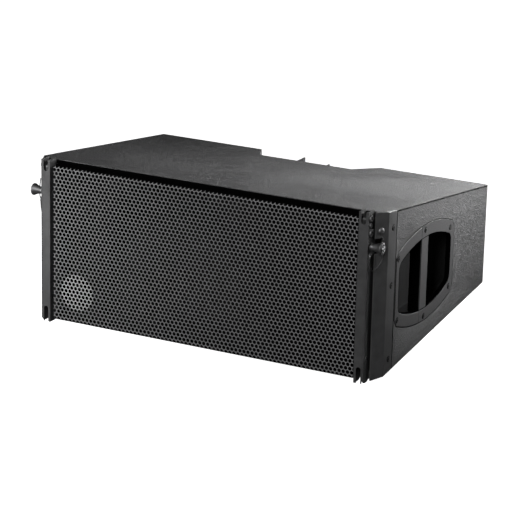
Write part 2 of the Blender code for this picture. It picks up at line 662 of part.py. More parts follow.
def cup_shell(side, label, mouth_x):
    """A moulded trough with a curved floor, closed above and below."""
    name = f"handle_cup_{label}"

    def trough(inset, mouth, deep):
        half = HANDLE_HALF_W - 0.001 - inset
        points = [(side * mouth, HANDLE_Y - half)]
        for i in range(1, 16):
            angle = math.pi * i / 16
            points.append((side * (mouth_x - (deep - inset) * math.sin(angle) ** 0.8),
                           HANDLE_Y - half * math.cos(angle)))
        points.append((side * mouth, HANDLE_Y + half))
        return extruded([points], 0.03, HEIGHT - 0.03, "Z")

    def prism(inset):
        reach = sorted((side * (HALF_W - 0.10), side * (HALF_W + 0.02)))
        rim = handle_outline(HANDLE_HALF_W - 0.001 - inset, HANDLE_HALF_H - 0.001 - inset,
                             HANDLE_BOW, 0.009)
        return extruded([rim], *reach, "X")

    cup = add_piece(name, trough(0.0, mouth_x, CUP_DEEP - HANDLE_PLATE), MOULDING)
    boolean(cup, add_cutter(f"{name}_height", prism(0.0)), "INTERSECT")
    hollow = add_cutter(f"{name}_hollow", trough(CUP_WALL, mouth_x + 0.01, CUP_DEEP - HANDLE_PLATE))
    boolean(hollow, add_cutter(f"{name}_hollow_height", prism(CUP_WALL)), "INTERSECT")
    boolean(cup, hollow)


# ---- rear rigging and inputs --------------------------------------------------------------
def rear_rigging():
    wall = SHEET
    base_y = RECESS_Y + GAP
    channel = [(-REAR_HALF, base_y), (REAR_HALF, base_y), (REAR_HALF, REAR_BACK_Y),
               (REAR_HALF - wall, REAR_BACK_Y), (REAR_HALF - wall, base_y + wall),
               (-REAR_HALF + wall, base_y + wall), (-REAR_HALF + wall, REAR_BACK_Y),
               (-REAR_HALF, REAR_BACK_Y)]
    strand = add_piece("rear_strand", extruded([channel], 0.059, 0.2525, "Z"), SHEET_PAINT)
    lower = box((-REAR_HALF + wall + 0.001, REAR_HALF + 0.01), (0.40, 0.50), (0.2465, 0.27))
    boolean(strand, add_cutter("rear_strand_step", lower))
    across = (-REAR_HALF - 0.01, REAR_HALF + 0.01)
    for part, place, radius in (("pivot", REAR_PIVOT, 0.0053),
                                ("pin", (REAR_PIVOT[0], REAR_PIN_Z), PIN_R + GAP)):
        boolean(strand, add_cutter(f"rear_strand_{part}", cylinder(radius, *across, "X", place, 20)))
    pivot = [(0.0, 0.0320), (0.0070, 0.0320), (0.0090, 0.0300), (0.0090, 0.0283), (0.0050, 0.0283),
             (0.0050, 0.0247), (0.0085, 0.0247), (0.0085, 0.0066), (0.0050, 0.0066),
             (0.0050, -0.0320), (0.0, -0.0320)]
    turned("rear_pivot_bolt", pivot, DARK_STEEL, facing((1, 0, 0), (0.0, *REAR_PIVOT)),
           segments=20)
    axis = axis_at("rear_link_axis", (0.0, *REAR_PIVOT))
    half = 0.012
    body = arc((0.0, 0.0), half, 0, 180, 12) + arc((0.0, -REAR_LINK_LONG), half, 180, 360, 12)
    holes = [arc((0.0, 0.0), 0.0053, 0, 337.5, 15)]
    for i in range(4):
        holes.append(arc((0.0, -0.052 - 0.016 * i), 0.0042, 0, 330, 11))
    add_piece("rear_link", extruded([body] + holes, -REAR_LINK_HALF, REAR_LINK_HALF, "X"),
              BLACK_STEEL, axis)
    locking_pin(1, "rear", (REAR_HALF, REAR_PIVOT[0], REAR_PIN_Z), 0.058)


def connectors():
    centre_x = -0.064
    plate = add_piece("connector_plate", box((centre_x - 0.026, centre_x + 0.026),
                                             (RECESS_Y + GAP, RECESS_Y + 0.0023), (0.095, 0.215)),
                      SHEET_PAINT)
    for height, label in ((0.128, "input"), (0.182, "output")):
        boolean(plate, add_cutter(f"{label}_hole", cylinder(0.0122, 0.40, 0.43, "Y",
                                                            (centre_x, height))))
        ring = [(0.0, 0.0002), (0.0090, 0.0002), (0.0090, 0.0026), (0.0148, 0.0026),
                (0.0148, 0.0), (0.0118, 0.0), (0.0118, -0.0018), (0.0, -0.0018)]
        turned(f"{label}_socket", ring, MOULDING,
               facing((0, 1, 0), (centre_x, RECESS_Y + 0.0026, height)), segments=24)


def main():
    cabinet_top_or_bottom("top_panel", True)
    cabinet_top_or_bottom("bottom_panel", False)
    rear_walls()
    chamber_walls()
    for side, label in ((-1, "left"), (1, "right")):
        side_panel(side, label)
        woofer_baffle(side, label)
        woofer(side, label)
        front_strand(side, label)
        corner_plate(side, label)
        front_link(side, label)
        guide_bolt(side, label)
        locking_pin(side, label, (side * RAIL_X[1], PIN_Y, PIN_Z), 0.0190)
        lanyard(side, label)
        handle(side, label)
    mid_driver()
    horn()
    crossover()
    grille()
    rear_rigging()
    connectors()


main()
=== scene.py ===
"""Finished look of a compact line array loudspeaker, laid over its packed working frame."""

import json
import math

import bpy
from mathutils import Matrix, Vector


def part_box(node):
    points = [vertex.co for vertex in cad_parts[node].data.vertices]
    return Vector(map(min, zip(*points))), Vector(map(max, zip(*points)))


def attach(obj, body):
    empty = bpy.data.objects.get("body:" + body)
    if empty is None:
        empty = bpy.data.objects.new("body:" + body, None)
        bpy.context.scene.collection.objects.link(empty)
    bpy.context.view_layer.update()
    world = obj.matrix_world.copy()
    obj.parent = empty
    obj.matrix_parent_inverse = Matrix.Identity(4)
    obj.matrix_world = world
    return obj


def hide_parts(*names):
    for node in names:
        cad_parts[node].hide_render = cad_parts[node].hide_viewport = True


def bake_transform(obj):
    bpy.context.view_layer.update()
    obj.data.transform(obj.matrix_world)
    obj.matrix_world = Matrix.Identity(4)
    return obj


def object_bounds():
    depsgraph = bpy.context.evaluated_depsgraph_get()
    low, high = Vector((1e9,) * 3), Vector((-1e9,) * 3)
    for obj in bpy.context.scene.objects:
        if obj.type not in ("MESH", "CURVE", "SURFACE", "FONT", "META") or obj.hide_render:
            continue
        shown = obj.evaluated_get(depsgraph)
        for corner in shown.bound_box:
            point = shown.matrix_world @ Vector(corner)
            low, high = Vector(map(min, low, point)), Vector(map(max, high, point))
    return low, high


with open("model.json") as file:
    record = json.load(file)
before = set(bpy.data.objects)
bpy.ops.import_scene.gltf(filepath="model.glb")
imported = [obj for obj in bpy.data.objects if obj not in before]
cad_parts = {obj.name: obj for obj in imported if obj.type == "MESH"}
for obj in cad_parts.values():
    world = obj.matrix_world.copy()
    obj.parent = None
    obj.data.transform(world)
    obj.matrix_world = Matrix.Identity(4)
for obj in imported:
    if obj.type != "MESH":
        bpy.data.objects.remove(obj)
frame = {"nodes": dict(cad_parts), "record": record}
CAD_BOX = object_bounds()

bl_info = {
    "name": "Line array loudspeaker",
    "version": (1, 0, 0),
    "blender": (4, 5, 0),
    "location": "View3D > Sidebar > Loudspeaker",
    "description": "Builds the cabinet, grille, rigging and handles of a line array loudspeaker",
    "category": "Add Mesh",
}

SIDES = ((-1, "left"), (1, "right"))
FRONT_Y = CAD_BOX[0][1]
BACK_Y = CAD_BOX[1][1]
HALF_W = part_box("side_panel_right")[1].x
SEAM_Y = FRONT_Y + 0.0730
WEDGE = math.radians(7.0)
UP, RIGHT, BACK = Vector((0, 0, 1)), Vector((1, 0, 0)), Vector((0, 1, 0))


# ---- finishes -----------------------------------------------------------------------------
# dark and light tone, patch size, roughness range, metal, then bumps: scale, stretch, depth
FINISHES = {
    "cabinet_paint": dict(
        tones=(0.006, 0.056), patch=330, rough=(0.40, 0.76), specular=0.45, sharp=0.08,
        bumps=((360, (1, 1, 1), 0.0011), (900, (1, 1, 1), 0.0004))),
    "rigging_paint": dict(
        tones=(0.024, 0.032), patch=60, rough=(0.40, 0.50), specular=0.45,
        bumps=((1500, (1, 1, 1), 0.00010), (90, (1, 1, 1), 0.00010))),
    "grille_paint": dict(
        tones=(0.095, 0.130), patch=120, rough=(0.48, 0.60), specular=0.35,
        bumps=((1800, (1, 1, 1), 0.00008),)),
    "acoustic_foam": dict(
        tones=(0.0004, 0.0014), patch=700, rough=(0.94, 1.0), specular=0.0,
        bumps=((900, (1, 1, 1), 0.0012), (300, (1, 1, 1), 0.0008))),
    "link_steel": dict(
        tones=(0.012, 0.022), patch=70, rough=(0.34, 0.46), metal=0.6,
        bumps=((900, (1, 1, 0.08), 0.00008),)),
    "pin_steel": dict(
        tones=(0.075, 0.120), patch=90, rough=(0.42, 0.56), metal=0.9,
        bumps=((1600, (1, 0.1, 0.1), 0.00005),)),
    "button_steel": dict(
        tones=(0.14, 0.22), patch=200, rough=(0.38, 0.52), metal=1.0,
        bumps=((2200, (1, 0.1, 1), 0.00003),)),
    "lanyard_sleeve": dict(
        tones=(0.006, 0.016), patch=500, rough=(0.38, 0.55),
        bumps=((2600, (1, 1, 0.5), 0.0002),)),
    "handle_moulding": dict(
        tones=(0.026, 0.040), patch=900, rough=(0.38, 0.50), specular=0.5,
        bumps=((2400, (1, 1, 1), 0.00016), (140, (1, 1, 1), 0.00008))),
    # painted shade: a darker copy of the handle moulding, so the inside of the finger cups reads
    # as shaded
    "cup_painted_shade": dict(
        tones=(0.006, 0.010), patch=300, rough=(0.60, 0.75), specular=0.15,
        bumps=((1200, (1, 1, 1), 0.0002),)),
    "horn_moulding": dict(
        tones=(0.014, 0.022), patch=400, rough=(0.45, 0.6),
        bumps=((1200, (1, 1, 1), 0.0002),)),
    "basket_casting": dict(
        tones=(0.05, 0.10), patch=300, rough=(0.42, 0.6), metal=0.6,
        bumps=((900, (1, 1, 1), 0.0003),)),
    "magnet_steel": dict(
        tones=(0.06, 0.13), patch=220, rough=(0.30, 0.5), metal=0.9,
        bumps=((1400, (1, 1, 0.1), 0.0001),)),
    "cone_paper": dict(
        tones=(0.010, 0.024), patch=800, rough=(0.75, 0.92), specular=0.2,
        bumps=((1100, (1, 0.3, 1), 0.0004),)),
    "surround_rubber": dict(
        tones=(0.008, 0.014), patch=150, rough=(0.5, 0.65),
        bumps=((1000, (1, 1, 1), 0.0001),)),
    "bare_plywood": dict(
        tones=(0.010, 0.030), tint=(1.0, 0.86, 0.72), patch=60, rough=(0.6, 0.8),
        bumps=((500, (0.1, 1, 1), 0.0003),)),
    "circuit_board": dict(
        tones=(0.03, 0.09), tint=(0.3, 1.0, 0.5), patch=400, rough=(0.3, 0.5),
        bumps=((800, (1, 1, 1), 0.0001),)),
}


class Nodes:
    """A short hand for adding and wiring shader nodes."""

    def __init__(self, tree):
        self.tree = tree

    def add(self, kind, wires=None, settings=None, values=None):
        made = self.tree.nodes.new(kind)
        for key, value in (settings or {}).items():
            setattr(made, key, value)
        for key, value in (values or {}).items():
            made.inputs[key].default_value = value
        for key, source in (wires or {}).items():
            self.tree.links.new(source, made.inputs[key])
        return made

    def noise(self, place, scale, detail=3.0, rough=0.55):
        return self.add("ShaderNodeTexNoise", {"Vector": place},
                        values={"Scale": scale, "Detail": detail, "Roughness": rough})

    def ramp(self, source, low, high, to=(0.0, 1.0)):
        return self.add("ShaderNodeMapRange", {"Value": source},
                        values={"From Min": low, "From Max": high,
                                "To Min": to[0], "To Max": to[1]}).outputs[0]

    def mix(self, share, first, second):
        made = self.add("ShaderNodeMix", {0: share}, {"data_type": "RGBA"})
        for socket, colour in ((6, first), (7, second)):
            if isinstance(colour, tuple):
                made.inputs[socket].default_value = colour
            else:
                self.tree.links.new(colour, made.inputs[socket])
        return made.outputs[2]


BROAD_PATCHES, BROAD_SHARE = 9.0, 0.3
MARK_BLUR = 0.0004


def finish(slot):
    """The material of one slot, made on first use."""
    name = f"{slot}_finish"
    if name in bpy.data.materials:
        return bpy.data.materials[name]
    rule = FINISHES[slot]
    made = bpy.data.materials.new(name)
    made.use_nodes = True
    nodes = Nodes(made.node_tree)
    shader = made.node_tree.nodes["Principled BSDF"]
    place = nodes.add("ShaderNodeTexCoord").outputs["Object"]
    patches = nodes.noise(place, rule["patch"]).outputs[0]
    broad = nodes.noise(place, BROAD_PATCHES, 2.0).outputs[0]
    tint = rule.get("tint", (1.0, 1.0, 1.02))
    dark, light = ((*(tone * part for part in tint), 1.0) for tone in rule["tones"])
    sharp = rule.get("sharp", 0.16)
    colour = nodes.mix(nodes.ramp(patches, 0.5 - sharp, 0.5 + sharp), dark, light)
    if slot == "grille_paint":
        colour = printed_mark(nodes, place, colour)
    made.node_tree.links.new(colour, shader.inputs["Base Color"])
    wander = nodes.add("ShaderNodeMix", {2: patches, 3: broad},
                       values={0: BROAD_SHARE})
    made.node_tree.links.new(nodes.ramp(wander.outputs[0], 0.5 - sharp, 0.5 + sharp,
                                        rule["rough"]),
                             shader.inputs["Roughness"])
    shader.inputs["Metallic"].default_value = rule.get("metal", 0.0)
    shader.inputs["Specular IOR Level"].default_value = rule.get("specular", 0.5)
    normal = None
    for scale, stretch, depth in rule["bumps"]:
        spread = nodes.add("ShaderNodeMapping", {"Vector": place}, values={"Scale": stretch})
        height = nodes.noise(spread.outputs[0], scale, 2.0).outputs[0]
        wires = {"Height": height}
        if normal is not None:
            wires["Normal"] = normal
        normal = nodes.add("ShaderNodeBump", wires,
                           values={"Strength": 1.0, "Distance": depth}).outputs[0]
    made.node_tree.links.new(normal, shader.inputs["Normal"])
    return made


def printed_mark(nodes, place, colour):
    """A plain pale disc printed on the sheet, low on the left."""
    look = bpy.context.scene.speaker_grille
    centred = nodes.add("ShaderNodeMapping", {"Vector": place}, values={
        "Location": (-look.mark_place[0], 0.0, -look.mark_place[1]), "Scale": (1.0, 0.0, 1.0)})
    away = nodes.add("ShaderNodeVectorMath", {0: centred.outputs[0]}, {"operation": "LENGTH"})
    inside = nodes.ramp(away.outputs["Value"], look.mark_radius + MARK_BLUR,
                        look.mark_radius - MARK_BLUR)
    return nodes.mix(inside, colour, (*look.mark_colour, 1.0))


# ---- bench tools --------------------------------------------------------------------------
def bench():
    """Leaves edit mode and lets go of everything."""
    if bpy.context.object and bpy.context.object.mode != "OBJECT":
        bpy.ops.object.mode_set(mode="OBJECT")
    bpy.ops.object.select_all(action="DESELECT")


def hold(*pieces):
    """Selects some pieces, the first of them active."""
    bench()
    for piece in pieces:
        piece.select_set(True)
    bpy.context.view_layer.objects.active = pieces[0]
    return pieces[0]


def taken(name):
    """Names the piece just added."""
    piece = bpy.context.object
    piece.name = piece.data.name = name
    return piece


def edit(piece, pick=None, kind="FACE"):
    """Opens a piece in edit mode with the faces that pick accepts, or with everything."""
    hold(piece)
    bpy.ops.object.mode_set(mode="EDIT")
    bpy.ops.mesh.select_mode(type=kind)
    bpy.ops.mesh.select_all(action="DESELECT" if pick else "SELECT")
    if pick:
        bpy.ops.object.mode_set(mode="OBJECT")
        for face in piece.data.polygons:
            face.select = bool(pick(face.center, face.normal))
        bpy.ops.object.mode_set(mode="EDIT")


def done(piece, smooth=30.0):
    """Merges doubles, turns the faces outwards and smooths all but the sharp edges."""
    edit(piece)
    bpy.ops.mesh.remove_doubles(threshold=1e-6)
    bpy.ops.mesh.normals_make_consistent(inside=False)
    bench()
    hold(piece)
    bpy.ops.object.transform_apply(location=True, rotation=True, scale=True)
    bpy.ops.object.shade_smooth_by_angle(angle=math.radians(smooth))
    return piece


def placed(piece, matrix):
    """Moves a piece there and applies it, so that its place is in its mesh."""
    piece.matrix_world = matrix
    hold(piece)
    bpy.ops.object.transform_apply(location=True, rotation=True, scale=True)
    return piece


def facing(direction, place):
    """A matrix whose Z axis points along direction, at place."""
    turn = Vector(direction).to_track_quat("Z", "Y").to_matrix().to_4x4()
    return Matrix.Translation(place) @ turn


def modified(piece, kind, **settings):
    """Adds a modifier and applies it."""
    hold(piece)
    modifier = piece.modifiers.new(kind.lower(), kind)
    for key, value in settings.items():
        setattr(modifier, key, value)
    bpy.ops.object.modifier_apply(modifier=modifier.name)
    return piece


def rounded(piece, width, segments=2, angle=30.0):
    return modified(piece, "BEVEL", width=width, segments=segments, limit_method="ANGLE",
                    angle_limit=math.radians(angle), miter_outer="MITER_ARC")


def turned(name, profile, place, segments=40):
    """A disc pulled through a list of (radius, height), as on a lathe."""
    (radius, height), *rest = profile
    bench()
    bpy.ops.mesh.primitive_circle_add(vertices=segments, radius=radius, fill_type="NGON",
                                      location=(0, 0, height))
    piece = taken(name)
    bpy.ops.object.transform_apply(location=True)
    edit(piece)
    for next_radius, next_height in rest:
        bpy.ops.mesh.extrude_region_move(
            TRANSFORM_OT_translate={"value": (0, 0, next_height - height)})
        share = next_radius / radius
        bpy.ops.transform.resize(value=(share, share, 1), center_override=(0, 0, next_height))
        radius, height = next_radius, next_height
    bench()
    placed(piece, place)
    return done(piece)


def outlined(name, points, push):
    """An outline drawn point by point, filled and pushed out to a thickness."""
    points = [Vector(point) for point in points]
    bench()
    bpy.ops.mesh.primitive_plane_add(size=0.001, location=points[0])
    piece = taken(name)
    bpy.ops.object.transform_apply(location=True)
    edit(piece, kind="VERT")
    bpy.ops.mesh.merge(type="CENTER")
    for here, there in zip(points, points[1:] + points[:1]):
        bpy.ops.mesh.extrude_vertices_move(TRANSFORM_OT_translate={"value": there - here})
    bpy.ops.mesh.select_all(action="SELECT")
    bpy.ops.mesh.remove_doubles(threshold=1e-6)
    bpy.ops.mesh.edge_face_add()
    bpy.ops.mesh.extrude_region_move(TRANSFORM_OT_translate={"value": Vector(push)})
    bench()
    return done(piece)


def copied(piece, name):
    """A copy with its own mesh."""
    twin = piece.copy()
    twin.data = piece.data.copy()
    bpy.context.scene.collection.objects.link(twin)
    twin.name = twin.data.name = name
    return twin


def joined(name, pieces):
    hold(*pieces)
    if len(pieces) > 1:
        bpy.ops.object.join()
    return taken(name)


def refined(node, width=0.0008, segments=2, name=None, angle=18.0):
    """A merged copy of a frame solid with its edges eased."""
    source = frame["nodes"][node]
    piece = source.copy()
    piece.data = source.data.copy()
    bpy.context.scene.collection.objects.link(piece)
    for key in list(piece.keys()):
        del piece[key]
    piece.parent = None
    piece.matrix_world = Matrix.Identity(4)
    piece.name = piece.data.name = name or f"finished_{node}"
    edit(piece, kind="VERT")
    bpy.ops.mesh.remove_doubles(threshold=2e-6)
    bpy.ops.mesh.dissolve_limited(angle_limit=math.radians(1.0))
    bpy.ops.mesh.normals_make_consistent(inside=False)
    bench()
    if width:
        rounded(piece, width, segments, angle)
    hold(piece)
    bpy.ops.object.shade_smooth_by_angle(angle=math.radians(16.0 if width else 30.0))
    return piece


def settle(piece, slot, body="root", *nodes, look=None):
    """Gives a piece its finish, its body and the frame solids that it stands for."""
    piece.data.materials.clear()
    piece.data.materials.append(finish(look or slot))
    if nodes:
        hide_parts(*nodes)
    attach(piece, body)
    return piece


def screw(name, place, radius, height, socket):
    """A low screw head with a hexagon socket sunk into it."""
    corners = 24
    bench()
    bpy.ops.mesh.primitive_cylinder_add(vertices=corners, radius=radius, depth=height,
                                        location=(0, 0, height / 2))
    piece = taken(name)
    bpy.ops.object.transform_apply(location=True)

    def top(centre, normal):
        return normal.z > 0.9 and centre.z > height * 0.9

    edit(piece, top)
    bpy.ops.mesh.bevel(offset=height * 0.35, segments=2, affect="EDGES")
    edit(piece, lambda centre, normal: top(centre, normal) and centre.xy.length < 1e-5)
    bpy.ops.mesh.inset(thickness=radius * 0.9 - height * 0.35 - socket)
    bpy.ops.object.mode_set(mode="OBJECT")
    face = max((f for f in piece.data.polygons if f.select), key=lambda f: len(f.vertices))
    for index in face.vertices:
        corner = piece.data.vertices[index].co
        turn = math.atan2(corner.y, corner.x) % (math.pi / 3) - math.pi / 6
        corner.xy *= socket * math.cos(math.pi / 6) / math.cos(turn) / corner.xy.length
    bpy.ops.object.mode_set(mode="EDIT")
    bpy.ops.mesh.extrude_region_move(TRANSFORM_OT_translate={"value": (0, 0, -height * 0.7)})
    bench()
    placed(piece, place)
    return done(piece)


def screw_seat(name, place, radius):
    """A shallow black washer that a screw head sits in."""
    return turned(name, [(radius, 0.0), (radius, 0.0004), (radius - 0.0004, 0.0006),
                         (radius - 0.0010, 0.0005)], place, 32)


# ---- settings -----------------------------------------------------------------------------
class CabinetLook(bpy.types.PropertyGroup):
    """Sizes of the painted panels' edges."""
    edge: bpy.props.FloatProperty(
        name="Panel edge", description="Rounding of the panels' edges", default=0.0012,
        min=0.0002, unit="LENGTH")


class GrilleLook(bpy.types.PropertyGroup):
    """Perforation and printed mark of the front sheet."""
    pitch: bpy.props.FloatProperty(
        name="Pitch", description="Distance between neighbouring holes", default=0.0082,
        min=0.004, unit="LENGTH")
    hole: bpy.props.FloatProperty(
        name="Hole", description="Diameter of a hole", default=0.0074, min=0.002,
        unit="LENGTH")
    sheet: bpy.props.FloatProperty(
        name="Sheet", description="Thickness of the sheet", default=0.0009, min=0.0005,
        unit="LENGTH")
    mark_place: bpy.props.FloatVectorProperty(
        name="Mark", description="Middle of the printed mark, across and up", size=2,
        default=(-0.257, 0.064), unit="LENGTH")
    mark_radius: bpy.props.FloatProperty(
        name="Mark radius", description="Radius of the printed mark", default=0.034,
        unit="LENGTH")
    mark_colour: bpy.props.FloatVectorProperty(
        name="Mark colour", description="Colour of the printed mark", size=3,
        subtype="COLOR", default=(0.26, 0.26, 0.26), min=0.0, max=1.0)


class StageLook(bpy.types.PropertyGroup):
    """Camera and light of the studio."""
    lens: bpy.props.FloatProperty(
        name="Lens", description="Focal length", default=169.13, subtype="DISTANCE_CAMERA")
    stand: bpy.props.FloatVectorProperty(
        name="Stand", description="Place of the camera", size=3,
        default=(2.0087, -3.8634, 1.4618), subtype="XYZ")
    azimuth: bpy.props.FloatProperty(
        name="Azimuth", description="How far the camera stands round to the right",
        default=math.radians(27.489), subtype="ANGLE")
    elevation: bpy.props.FloatProperty(
        name="Elevation", description="How steeply the camera looks down",
        default=math.radians(17.265), subtype="ANGLE")
    roll: bpy.props.FloatProperty(
        name="Roll", description="Tilt of the camera about its own axis",
        default=math.radians(1.381), subtype="ANGLE")


# ---- stage --------------------------------------------------------------------------------
def aimed(light, name, place, aim):
    light.name = name
    light.visible_camera = False
    light.rotation_euler = (Vector(aim) - Vector(place)).to_track_quat("-Z", "Y").to_euler()


def softbox(name, place, aim, width, height, power):
    bench()
    bpy.ops.object.light_add(type="AREA", location=place)
    light = bpy.context.object
    light.data.shape = "RECTANGLE"
    light.data.size, light.data.size_y = width, height
    light.data.energy = power
    aimed(light, name, place, aim)


def soft_spot(name, place, aim, spread, power):
    """A round lamp whose light fades out from its middle to its rim."""
    bench()
    bpy.ops.object.light_add(type="SPOT", location=place)
    light = bpy.context.object
    light.data.spot_size = math.radians(spread)
    light.data.spot_blend = 1.0
    light.data.shadow_soft_size = 0.25
    light.data.energy = power
    aimed(light, name, place, aim)


FLOOR_SIZE, FLOOR_DROP = 40.0, 0.0005
FLOOR_TONES = ((0.86, 0.86, 0.86, 1), (0.88, 0.88, 0.88, 1))
ROOM_GLOW = (0.05, 0.05, 0.05, 1)
# place, what it is aimed at, width, height and power
FRONT_SOFTBOX = ((0.3, -2.6, 1.6), (0.0, 0.0, 0.15), 1.6, 1.2, 100.0)
# name, place, what it is aimed at, spread in degrees and power
SPOTS = (
    ("back_glow", (0.2, 2.6, 0.7), (0.36, 0.24, 0.26), 24.0, 390.0),
    ("right_glow", (1.7, 0.9, 1.2), (0.36, 0.20, 0.36), 20.0, 600.0),
    ("right_rim", (1.5, 2.2, 0.7), (0.35, 0.1, 0.62), 26.0, 560.0),
    ("left_rim", (-1.5, -1.6, 0.5), (-0.45, -0.24, 0.2), 16.0, 450.0))


class SPEAKER_OT_stage(bpy.types.Operator):
    """Lays the floor and sets the camera and the soft lights"""
    bl_idname = "speaker.stage"
    bl_label = "Stage"

    def execute(self, context):
        look = context.scene.speaker_stage
        turn, drop = look.azimuth, look.elevation
        ahead = Vector((-math.sin(turn) * math.cos(drop), math.cos(turn) * math.cos(drop),
                        -math.sin(drop)))
        level = Vector((math.cos(turn), math.sin(turn), 0.0))
        over = level.cross(ahead)
        right = level * math.cos(look.roll) + over * math.sin(look.roll)
        bench()
        bpy.ops.object.camera_add(location=look.stand)
        camera = context.object
        camera.name = "camera"
        camera.rotation_euler = Matrix((right, right.cross(ahead), -ahead)).transposed() \
            .to_euler()
        camera.data.lens = look.lens
        context.scene.camera = camera

        bench()
        bpy.ops.mesh.primitive_plane_add(
            size=FLOOR_SIZE, location=(0, 0, CAD_BOX[0][2] - FLOOR_DROP))
        floor = taken("studio_floor")
        edit(floor)
        bpy.ops.mesh.subdivide(number_cuts=3)
        bench()
        hold(floor)
        bpy.ops.object.transform_apply(location=True)
        paint = bpy.data.materials.new("floor_paint")
        paint.use_nodes = True
        nodes = Nodes(paint.node_tree)
        shader = paint.node_tree.nodes["Principled BSDF"]
        place = nodes.add("ShaderNodeTexCoord").outputs["Object"]
        haze = nodes.ramp(nodes.noise(place, 1.5).outputs[0], 0.3, 0.7)
        paint.node_tree.links.new(nodes.mix(haze, *FLOOR_TONES), shader.inputs["Base Color"])
        shader.inputs["Roughness"].default_value = 0.9
        shader.inputs["Specular IOR Level"].default_value = 0.1
        shader.inputs["Emission Color"].default_value = (1.0, 1.0, 1.0, 1.0)
        shader.inputs["Emission Strength"].default_value = 1.0
        floor.data.materials.append(paint)
        floor.visible_glossy = floor.visible_diffuse = False

        world = bpy.data.worlds.new("studio")
        world.use_nodes = True
        context.scene.world = world
        nodes = Nodes(world.node_tree)
        wall = world.node_tree.nodes["Background"]
        wall.inputs["Color"].default_value = ROOM_GLOW
        white = nodes.add("ShaderNodeBackground", values={"Color": (1, 1, 1, 1)})
        seen = nodes.add("ShaderNodeLightPath").outputs["Is Camera Ray"]
        both = nodes.add("ShaderNodeMixShader", {0: seen, 1: wall.outputs[0],
                                                 2: white.outputs[0]})
        world.node_tree.links.new(both.outputs[0],
                                  world.node_tree.nodes["World Output"].inputs["Surface"])
        context.scene.view_settings.view_transform = "Standard"
        softbox("front_soft", *FRONT_SOFTBOX)
        for spot in SPOTS:
            soft_spot(*spot)
        return {"FINISHED"}


# ---- lanyards -----------------------------------------------------------------------------
LANYARD_KNOTS = (
    (0.3450, 0.0215, 0.2660), (0.3475, 0.0245, 0.2600), (0.3500, 0.0262, 0.2500),
    (0.3508, 0.0265, 0.2400), (0.3490, 0.0255, 0.2290), (0.3450, 0.0230, 0.2180),
    (0.3400, 0.0165, 0.2085), (0.3358, 0.0110, 0.2045), (0.3338, 0.0075, 0.2080),
    (0.3332, 0.0045, 0.2160), (0.3330, 0.0030, 0.2260), (0.3330, 0.0030, 0.2330))
LANYARD_WIRE = 0.0018
EYE_RADIUS, EYE_WIRE, EYE_DEPTH, EYE_Z = 0.0072, 0.0007, 0.011, 0.247


def lanyard_route(side):
    """The wire's line: a smooth curve through its knots, with three points between."""
    knots = [Vector((side * x, y + FRONT_Y, z)) for x, y, z in LANYARD_KNOTS]
    ends = [2 * knots[0] - knots[1]] + knots + [2 * knots[-1] - knots[-2]]
    line = []
    for before, start, end, after in zip(ends, ends[1:], ends[2:], ends[3:]):
        for step in range(3):
            t = step / 3
            line.append(0.5 * (2 * start + (end - before) * t
                               + (2 * before - 5 * start + 4 * end - after) * t ** 2
                               + (3 * start - before - 3 * end + after) * t ** 3))
    return line + [knots[-1]]


class SPEAKER_OT_lanyards(bpy.types.Operator):
    """Hangs the sleeved wires that keep the front pins"""
    bl_idname = "speaker.lanyards"
    bl_label = "Pin lanyards"

    def execute(self, context):
        for side, label in SIDES:
            line = lanyard_route(side)
            curve = bpy.data.curves.new(f"lanyard_wire_{label}", "CURVE")
            curve.dimensions = "3D"
            curve.bevel_depth = LANYARD_WIRE / 2
            curve.bevel_resolution = 3
            curve.use_fill_caps = True
            spline = curve.splines.new("POLY")
            spline.points.add(len(line) - 1)
            for point, place in zip(spline.points, line):
                point.co = (*place, 1.0)
            holder = bpy.data.objects.new(f"lanyard_wire_{label}", curve)
            context.scene.collection.objects.link(holder)
            hold(holder)
            bpy.ops.object.convert(target="MESH")
            wire = taken(f"lanyard_wire_{label}")
            done(wire, 60)
            wire.data.materials.clear()
            wire.data.materials.append(finish("lanyard_sleeve"))
            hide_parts(f"lanyard_{label}")

            tip = line[-1]
            sleeve = turned(f"lanyard_ferrule_{label}", [
                (0.0012, -0.0045), (0.0017, -0.0040), (0.0017, -0.0012), (0.0019, -0.0008),
                (0.0017, -0.0003), (0.0017, 0.0032), (0.0012, 0.0037)],
                facing(UP, tip + Vector((0, 0, 0.0006))), 20)
            settle(sleeve, "button_steel", f"locking_pin_{label}")
            bench()
            eye_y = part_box(f"locking_pin_{label}")[0].y + EYE_DEPTH
            bpy.ops.mesh.primitive_torus_add(
                major_radius=EYE_RADIUS, minor_radius=EYE_WIRE, major_segments=36,
                minor_segments=8, location=(tip.x, eye_y, EYE_Z), rotation=(0, math.pi / 2, 0))
            eye = done(taken(f"lanyard_eye_{label}"), 60)
            settle(eye, "pin_steel", f"locking_pin_{label}")
            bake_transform(wire)
        return {"FINISHED"}


# ---- cabinet ------------------------------------------------------------------------------
PANEL_STEPS = 3
# painted shade strips under the top edge: from and to how far below it, and how far they stand
# proud
EDGE_SHADE_FROM, EDGE_SHADE_TO, EDGE_SHADE_SHOW = 0.0014, 0.0034, 0.00015
STRIP_ROOT = 0.0010
# painted shade strip on the top panel's front edge: inset from each side, and its heights
FRONT_SHADE_INSET, FRONT_SHADE_Z = 0.0165, (0.2975, 0.3058)


